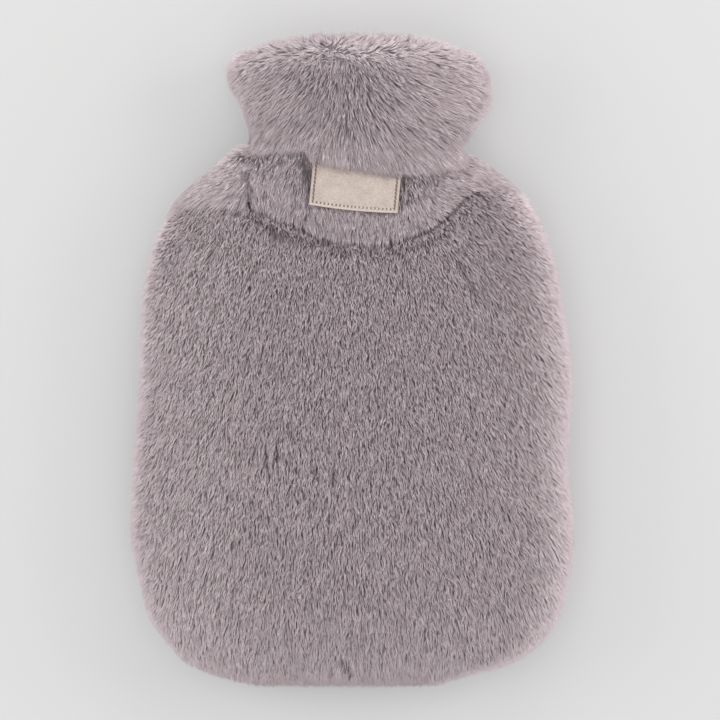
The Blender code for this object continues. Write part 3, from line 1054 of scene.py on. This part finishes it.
class COVER_OT_yoke(bpy.types.Operator):
    """Yoke: the upper front, whose pile hangs over the front panel's"""

    bl_idname = "cover.yoke"
    bl_label = "Yoke"

    def execute(self, context):
        def start(turn):
            return hem(turn) + HEM_SETBACK

        def deep(y, turn):
            return yoke_depths(y, turn)[1]

        edges = (start, level(NECK_END), FRONT_TURNS)
        cloth = pouch_cloth("yoke_backing", *edges, 25, yoke_place, deep)

        def comb(y, turn, root):
            hollow, dark, push = near_partings(root, YOKE_PARTINGS)
            x, above = root[:, 0], y - hem(turn)
            # the nap fans out to the right, and less to the left
            lean = np.radians(64) * eased(x, 0.023, 0.058)
            lean -= np.radians(44) * eased(-x, 0.0560, 0.066)
            lean -= np.radians(8) * eased(-x, 0.01, 0.04)
            # it is lifted beside the label, pressed flat under it, and curls in the notch
            beside, left = beside_label(root), x < 0
            lean += np.where(left, 0.45, -0.10) * beside
            curl = notch(root)
            room = np.maximum(deep(y, turn) - CLOTH, 0.0018)
            rise = 1.05 - hollow + 1.7 * curl
            rise += np.where(left, OVER_LABEL / room, 0.25) * beside
            lean -= 0.7 * curl
            under = under_label(root - np.array([0, 0.005, 0]), 0.0006)
            rise = np.where(under, np.minimum(rise, 0.60), rise)
            # it hangs past the hem, unevenly where the two piles meet at the sides
            run = 1.15 + 0.35 * eased(0.011 - above, 0, 0.005) * (1 - eased(x, 0.01, 0.04))
            feather = (1 - lapped(turn)) * eased(0.016 - above, 0, 0.006)
            run *= 1 + feather * (0.3 + 0.9 * waves(root, 0.0020, 3, 95))
            # painted shade in the partings, painted light at the rims and the left side,
            # painted shade on the right shoulder
            shade = 0.50 - dark + 0.7 * painted_rim_light(turn) + 0.10 * curl + painted_side_light(root)
            shade += 0.13 * waves(root, 0.006, 6, 43)
            # painted light below the collar's lip on the left, which thins the collar's
            # shadow there
            shade += 0.12 * eased(y, 0.277, 0.286) * eased(-x, 0.028, 0.036)
            return lean, rise, run, shade, sideways(0.6 * push), 0.0

        roots_at = pouch_roots(start, level(0.2950), FRONT_TURNS, yoke_place)
        piles = stand_pile(context, "yoke", roots_at, yoke_place, POUCH_STEP, comb)
        dress_cloth("yoke_flap")
        return {"FINISHED"}


def painted_rim_light(turn):
    """How much painted light lightens the pile toward the side seams, the right one most.
    """
    side = across(turn)
    return np.where(side > 0, 0.34, 0.00) * eased(np.abs(side), 0.78, 0.99)


def painted_side_light(points):
    """Painted light toward the front's left side, and painted shade on its right shoulder.
    """
    x, y = points[:, 0], points[:, 1]
    shoulder = eased(x, 0.04, 0.09) * eased(y, 0.19, 0.23)
    return 0.11 * eased(-x, 0.03, 0.09) - 0.13 * shoulder


def label_plan(points):
    """How far points of the ground plan lie along and up the label from its middle."""
    away = points[:, :2] - np.array(LABEL_MIDDLE)
    u = away[:, 0] * np.cos(LABEL_TURN) + away[:, 1] * np.sin(LABEL_TURN)
    return u, -away[:, 0] * np.sin(LABEL_TURN) + away[:, 1] * np.cos(LABEL_TURN)


def under_label(points, margin):
    """Whether a point of the ground plan lies inside the label's outline less a margin."""
    u, v = label_plan(points)
    width, height = LABEL_SIZE
    return (np.abs(u) < width / 2 - margin) & (np.abs(v) < height / 2 + 0.004)


def beside_label(points):
    """1 right beside the label's two short edges, fading over a few millimetres."""
    u, v = label_plan(points)
    off = np.abs(u) - LABEL_SIZE[0] / 2
    level_with = eased(v, -0.010, 0.0) * (off > -0.0008)
    level_with = level_with * np.where(u < 0, 1 - eased(v, 0.003, 0.008), 1.0)
    return level_with * np.exp(-((off / 0.005) ** 2))


class COVER_OT_collar(bpy.types.Operator):
    """Collar: the turned-down ring of pile cloth around the neck"""

    bl_idname = "cover.collar"
    bl_label = "Collar"

    def execute(self, context):
        points = collar_grid(1.0)[::2, ::3]
        corners = grid_corners(*points.shape[:2], flip=True, ring=True).ravel()
        ring = ("collar_backing", points, corners, 4)
        cloth = mesh_object(*ring, backing_material(), "pile_cloth")

        def comb(row, column, root):
            x, y, z = root.T
            # the nap fans out from a place left of the middle and turns up at the rim
            fan = np.clip((x + 0.012) / 0.060, -1, 1)
            lean = np.radians(np.where(fan < 0, 24, 45)) * fan
            fan = fan + 0.10 * waves(root, 0.0012, 3, 99)
            up = eased(y + 0.0045 * waves(root, 0.010, 5, 97), 0.335, 0.349)
            lean = lean * (1 - up) + np.sign(fan) * (np.pi - 0.8 * np.abs(lean)) * up
            top = eased(y, 0.330, 0.350)
            # rows above the lip, on the front, where the hairs hang over what is below
            front = np.tanh((z - SEAM_HEIGHT) / 0.010)
            rows = 2 * (COLLAR_STRAIGHT + COLLAR_CAP)
            above = np.where(row > rows - COLLAR_CAP, row - rows, row)
            outside = (above > -0.6 * COLLAR_CAP) * (above < 13) * (front > 0.2)
            lip = outside * (1 - eased(above, 2.5, 6.5))
            rise = 1 + top * (0.30 * waves(root, 0.0016, 3, 96) - 0.10)
            low = outside * (1 - eased(above, 5, 12))
            hang = 1.3 * low * np.exp(-(((x - 0.009) / 0.014) ** 2)) + 0.3 * lip
            hang += 0.5 * low * np.exp(-(((x + 0.038) / 0.012) ** 2))
            run = 1.15 + hang * (1 + waves(root, 0.0025, 3, 98)) - 0.25 * top
            # painted light along the collar's top rim and toward its two sides
            shade = 0.52 + 0.42 * top + 0.15 * eased(np.abs(x), 0.040, 0.062)
            return lean, rise, run, shade + 0.02 * lip, 0.0, 0.8 * lip

        place = collar_place()
        piles = stand_pile(context, "collar", collar_roots, place, COLLAR_STEP, comb)
        dress_cloth("neck_collar")
        return {"FINISHED"}


STITCH_PITCH = 0.0021  # from one stitch to the next
STITCH_IN = 0.0019  # of the stitching from the label's edge
FOLD_WIDTH = 0.0028  # of the cloth folded under at the label's edges


def label_surface(u, v, share):
    """The label over the yoke: share 0 is its underside and share 1 its face.

    Its thickness runs out in a quarter circle at the edges, is a little more over the
    folded hem, and dips along the stitching; the whole label waves a little, and its
    lower edge bows down in a parabola, which runs out toward the upper one."""
    width, height = LABEL_SIZE
    low = v - LABEL_BOW * (1 - (2 * u / width) ** 2) * (0.5 - v / height)
    x = LABEL_MIDDLE[0] + u * np.cos(LABEL_TURN) - low * np.sin(LABEL_TURN)
    y = LABEL_MIDDLE[1] + u * np.sin(LABEL_TURN) + low * np.cos(LABEL_TURN)
    above = y - follow(HEM["across"], HEM["height"], x / section(SKIN, "left", y))
    lift = YOKE_LIFT * (1 - eased(above, 0, TUCK))
    edge = np.minimum(width / 2 - np.abs(u), height / 2 + v)
    full = np.sqrt(1 - (1 - np.clip(edge / 0.0005, 0, 1)) ** 2)
    fold = 0.00028 * (1 - eased(edge, FOLD_WIDTH - 0.0005, FOLD_WIDTH + 0.0005))
    sunk = 0.00032 * np.exp(-(((edge - STITCH_IN) / 0.00045) ** 2))
    swell = 0.00025 * np.sin(u * 2 * np.pi / 0.031 + 0.7) * eased(edge, 0, 0.004)
    face = (LABEL_THICK + fold - sunk) * (0.12 + 0.88 * full)
    base = crown(x, y) + lift + 2 * GAP
    return np.stack([x, y, base + share * (face + swell + 0.00025)], axis=-1)


def stitch_rows():
    """Where the stitches lie: their middles (u, v) and directions, along the lower edge
    and then, slanting, down the two short edges."""
    width, height = LABEL_SIZE
    along = np.arange(-width / 2 + STITCH_IN, width / 2 - STITCH_IN, STITCH_PITCH)
    along = along + STITCH_PITCH / 2
    foot = np.stack([along, np.full_like(along, -height / 2 + STITCH_IN)], axis=-1)
    up = np.arange(-height / 2 + STITCH_IN, height / 2 - STITCH_PITCH, STITCH_PITCH)
    up = up + STITCH_PITCH / 2
    left = np.stack([np.full_like(up, -width / 2 + STITCH_IN), up], axis=-1)
    sides = np.concatenate([left, left * np.array([-1, 1])])
    slant = np.broadcast_to([np.sin(0.70), np.cos(0.70)], sides.shape)
    return (foot, np.broadcast_to([1.0, 0.0], foot.shape)), (sides, slant)


def stitch_mesh(name, middles, runs, length, radius, colour):
    """Each stitch is a short tube along an arch, pinched at both ends where it goes
    through the cloth: radius * sin, height * sin, over five rings of six points."""
    t = np.linspace(0, np.pi, 5)
    around = np.arange(6) * np.pi / 3
    arch, sunk = 0.00030, 0.0001
    thick = radius * (0.15 + 0.85 * np.sin(t))[:, None]
    along = -0.5 * length * np.cos(t)[:, None] + 0 * around
    beside = thick * np.cos(around)
    above = arch * np.sin(t)[:, None] - sunk + thick * np.sin(around)
    square = runs[:, ::-1] * np.array([-1, 1])
    plan = middles[:, None, None] + along[..., None] * runs[:, None, None]
    plan = plan + beside[..., None] * square[:, None, None]
    points = label_surface(plan[..., 0], plan[..., 1], 1.0)
    points[..., 2] += above
    ring = grid_corners(5, 6, ring=True).reshape(5, 6, 4)[:4].reshape(-1, 4)
    tris = np.concatenate([ring[:, [0, 1, 2]], ring[:, [0, 2, 3]]])
    fan = np.array([(0, i + 1, i) for i in range(1, 5)])
    far = fan[:, [0, 2, 1]] + 24
    faces = np.concatenate([tris, fan, far])[:, ::-1]
    corners = (faces.ravel() + 30 * np.arange(len(middles))[:, None]).ravel()
    thread = thread_material(name, colour)
    return mesh_object(name, points, corners, 3, thread, "label_cloth")


def label_material(cloth, hole):
    """Cotton canvas label, piece dyed cream: matt, with a thread about every 0.9 mm, a
    brighter folded edge and dark needle holes between the stitches.

    up and side count stitches from the lower and from the nearer short edge.  A hole's
    middle lies where one is the stitching's inset and the other a whole number past it:
    spot is the square root of the two distances' squares, and holes fade out over it."""
    material, tree, shader = fresh("woven_cotton_label", Roughness=0.72, Sheen_Weight=0.1)
    width, height = (size / STITCH_PITCH for size in LABEL_SIZE)
    inset = STITCH_IN / STITCH_PITCH
    plan = add(tree, "ShaderNodeUVMap", uv_map="LabelPlan").outputs[0]
    split = add(tree, "ShaderNodeSeparateXYZ", {0: plan})
    place = add(tree, "ShaderNodeTexCoord").outputs["Object"]
    values = {"plan_x": split.outputs[0], "plan_y": split.outputs[1]}
    for name, scale in (("grain", 1500.0), ("cloud", 180.0)):
        noise = {"Vector": place, "Scale": scale, "Detail": 2.0}
        values[name] = add(tree, "ShaderNodeTexNoise", noise).outputs[0]
    for name, direction in (("warp", "X"), ("weft", "Y")):
        wave = {"Vector": place, "Scale": 350.0, "Distortion": 1.0, "Detail": 1.0}
        thread = add(tree, "ShaderNodeTexWave", wave, bands_direction=direction)
        values[name] = thread.outputs["Fac"]

    steps = [
        ("up", "MULTIPLY", "plan_y", height),
        ("off_middle", "MULTIPLY_ADD", "plan_x", width, -width / 2),
        ("off_middle", "ABSOLUTE", "off_middle"),
        ("side", "SUBTRACT", width / 2, "off_middle"),
    ]
    for row, off, run in (("foot_row", "up", "side"), ("side_row", "side", "up")):
        steps += [
            ("run", "SUBTRACT", run, inset),
            ("run", "PINGPONG", "run", 0.5),
            ("run", "POWER", "run", 2.0),
            ("off", "SUBTRACT", off, inset),
            ("off", "MULTIPLY", "off", 0.9),
            ("off", "POWER", "off", 2.0),
            (row, "ADD", "run", "off"),
            (row, "SQRT", row),
        ]
    steps += [
        ("spot", "MINIMUM", "foot_row", "side_row"),
        ("fade", "MULTIPLY_ADD", "spot", -1 / 0.18, 0.32 / 0.18),
        ("fade", "MINIMUM", "fade", 1.0),
        ("fade", "MAXIMUM", "fade", 0.0),
        ("edge", "MINIMUM", "up", "side"),
        ("sewn", "GREATER_THAN", "edge", inset - 0.3),
        ("holes", "MULTIPLY", "fade", "sewn"),
        ("dark", "MULTIPLY", "holes", 0.85),
        ("folded", "LESS_THAN", "up", 0.36),
        ("bright", "MULTIPLY", "folded", 0.80),
        ("grain", "MULTIPLY", "grain", 0.65),
        ("shade", "MULTIPLY_ADD", "cloud", 0.35, "grain"),
        ("weft", "MULTIPLY", "weft", 0.5),
        ("weave", "MULTIPLY_ADD", "warp", 0.5, "weft"),
        ("relief", "MULTIPLY_ADD", "holes", -1.5, "weave"),
    ]
    for name, operation, *terms in steps:
        inputs = {number: values.get(term, term) for number, term in enumerate(terms)}
        values[name] = add(tree, "ShaderNodeMath", inputs, operation=operation).outputs[0]

    dark, light, edge = (np.array(cloth) * share for share in (0.74, 1.22, 1.36))
    tones = ((0.30, dark), (0.70, light))
    tone = add(tree, "ShaderNodeValToRGB", {0: values["shade"]}, tones)
    colour = tone.outputs[0]
    for share, cover in (("bright", edge), ("dark", hole)):
        layers = {0: values[share], 6: colour, 7: (*cover, 1)}
        colour = add(tree, "ShaderNodeMix", layers, data_type="RGBA").outputs[2]
    tree.links.new(colour, shader.inputs["Base Color"])
    relief = {"Height": values["relief"], "Strength": 0.35, "Distance": 0.00025}
    bump = add(tree, "ShaderNodeBump", relief)
    tree.links.new(bump.outputs[0], shader.inputs["Normal"])
    return material


def thread_material(name, colour):
    """Spun polyester sewing thread: a soft gloss, with twisted plies 0.4 mm apart."""
    material, tree, shader = fresh(f"spun_polyester_thread_{name}", Roughness=0.55)
    place = add(tree, "ShaderNodeTexCoord").outputs["Object"]
    wave = {"Vector": place, "Scale": 900.0, "Distortion": 0.5}
    plies = add(tree, "ShaderNodeTexWave", wave, bands_direction="DIAGONAL")
    ends = ((0.0, 0.7 * np.array(colour)), (1.0, colour))
    tone = add(tree, "ShaderNodeValToRGB", {0: plies.outputs["Fac"]}, ends)
    tree.links.new(tone.outputs[0], shader.inputs["Base Color"])
    return material


class COVER_OT_label(bpy.types.Operator):
    """Label: a plain cream cloth label with folded, stitched edges"""

    bl_idname = "cover.label"
    bl_label = "Label"

    def execute(self, context):
        label = context.scene.cover_label
        width, height = LABEL_SIZE
        t, s = np.meshgrid(np.linspace(-1, 1, 61), np.linspace(-1, 1, 41))
        u = width / 2 * (1.3 * t - 0.3 * t**3)
        v = height / 2 * (1.3 * s - 0.3 * s**3)
        faces = (label_surface(u, v, 1.0), label_surface(u, v, 0.0))
        material = label_material(label.cloth_colour, label.hole_colour)
        plan = np.stack([u / width + 0.5, v / height + 0.5], axis=-1)
        looks = (material, "label_cloth", "LabelPlan", plan)
        patch = cloth_slab("label_cloth", *faces, *looks)
        foot, sides = stitch_rows()
        stitches = [
            stitch_mesh("label_hem_stitches", *foot, 0.0013, 0.00022, label.thread_colour),
            stitch_mesh("label_side_stitches", *sides, 0.0019, 0.00026, label.side_colour),
        ]
        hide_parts("label_patch")
        return {"FINISHED"}


class COVER_OT_stage(bpy.types.Operator):
    """Stage: a plain pale floor, soft lights and the camera"""

    bl_idname = "cover.stage"
    bl_label = "Stage"

    def execute(self, context):
        stage = context.scene.cover_stage
        paper = fresh(
            "matt_pale_paper",
            Base_Color=(*stage.floor_colour, 1),
            Roughness=0.95,
            Emission_Color=(1, 1, 1, 1),
            Emission_Strength=stage.floor_glow,
        )[0]
        mesh = bpy.data.meshes.new("studio_floor")
        half = 3.0
        corners = [(-half, -half, 0), (half, -half, 0), (half, half, 0), (-half, half, 0)]
        mesh.from_pydata(corners, [], [(0, 1, 2, 3)])
        mesh.materials.append(paper)
        floor = bpy.data.objects.new("studio_floor", mesh)
        context.scene.collection.objects.link(floor)

        world = bpy.data.worlds.new("studio_air")
        world.use_nodes = True
        air = world.node_tree.nodes["Background"]
        air.inputs["Color"].default_value = (1, 1, 1, 1)
        air.inputs["Strength"].default_value = 0.60
        context.scene.world = world
        context.scene.view_settings.view_transform = "Standard"

        lights = (
            ("left_softbox", (-1.1, 0.10, 0.50), 0.9, 7.6, "#fffcfb"),
            ("right_softbox", (1.1, 0.20, 0.50), 0.9, 8.4, "#fffafa"),
            ("head_softbox", (0.2, 1.2, 0.60), 0.9, 5.0, "#fffcfc"),
            ("foot_softbox", (0.0, -1.2, 0.60), 0.9, 4.0, "#fffcfc"),
            ("overhead_softbox", (-0.2, 0.0, 1.9), 1.4, 10.0, "#ffffff"),
        )
        for name, place, size, power, colour in lights:
            light = bpy.data.lights.new(name, "AREA")
            light.shape, light.size = "SQUARE", size
            light.energy, light.color = power, linear(colour)
            lamp = bpy.data.objects.new(name, light)
            lamp.location = place
            x, y, z = np.array(place) - np.array([0, 0, 0.03])  # from the cover's middle
            tilt, turn = np.arctan2(np.hypot(x, y), z), np.arctan2(y, x) + np.pi / 2
            lamp.rotation_euler = (tilt, 0, turn)
            context.scene.collection.objects.link(lamp)

        camera = bpy.data.cameras.new("camera")
        camera.sensor_width = 36.0
        camera.lens = 36.0 * stage.distance / stage.frame_size
        camera.clip_end = 20.0
        eye = bpy.data.objects.new("camera", camera)
        eye.location = (0.00396, 0.00043, SEAM_HEIGHT + stage.distance)
        context.scene.collection.objects.link(eye)
        context.scene.camera = eye
        return {"FINISHED"}


class COVER_PT_panel(bpy.types.Panel):
    """The cover's pieces and settings in the sidebar."""

    bl_idname = "COVER_PT_panel"
    bl_label = "Bottle Cover"
    bl_space_type = "VIEW_3D"
    bl_region_type = "UI"
    bl_category = "Bottle Cover"

    def draw(self, context):
        scene = context.scene
        for group in (scene.cover_pile, scene.cover_label, scene.cover_stage):
            box = self.layout.box()
            for name in group.__annotations__:
                box.prop(group, name)
        for piece in PIECES:
            self.layout.operator(piece.bl_idname)


PIECES = (
    COVER_OT_back,
    COVER_OT_front,
    COVER_OT_yoke,
    COVER_OT_collar,
    COVER_OT_label,
    COVER_OT_stage,
)
CLASSES = (CoverPile, CoverLabel, CoverStage, *PIECES, COVER_PT_panel)


def register():
    for kind in CLASSES:
        bpy.utils.register_class(kind)
    bpy.types.Scene.cover_pile = PointerProperty(type=CoverPile)
    bpy.types.Scene.cover_label = PointerProperty(type=CoverLabel)
    bpy.types.Scene.cover_stage = PointerProperty(type=CoverStage)


def unregister():
    del bpy.types.Scene.cover_stage
    del bpy.types.Scene.cover_label
    del bpy.types.Scene.cover_pile
    for kind in reversed(CLASSES):
        bpy.utils.unregister_class(kind)


def main():
    register()
    bpy.ops.cover.back()
    bpy.ops.cover.front()
    bpy.ops.cover.yoke()
    bpy.ops.cover.collar()
    bpy.ops.cover.label()
    bpy.ops.cover.stage()


if __name__ == "__main__":
    main()
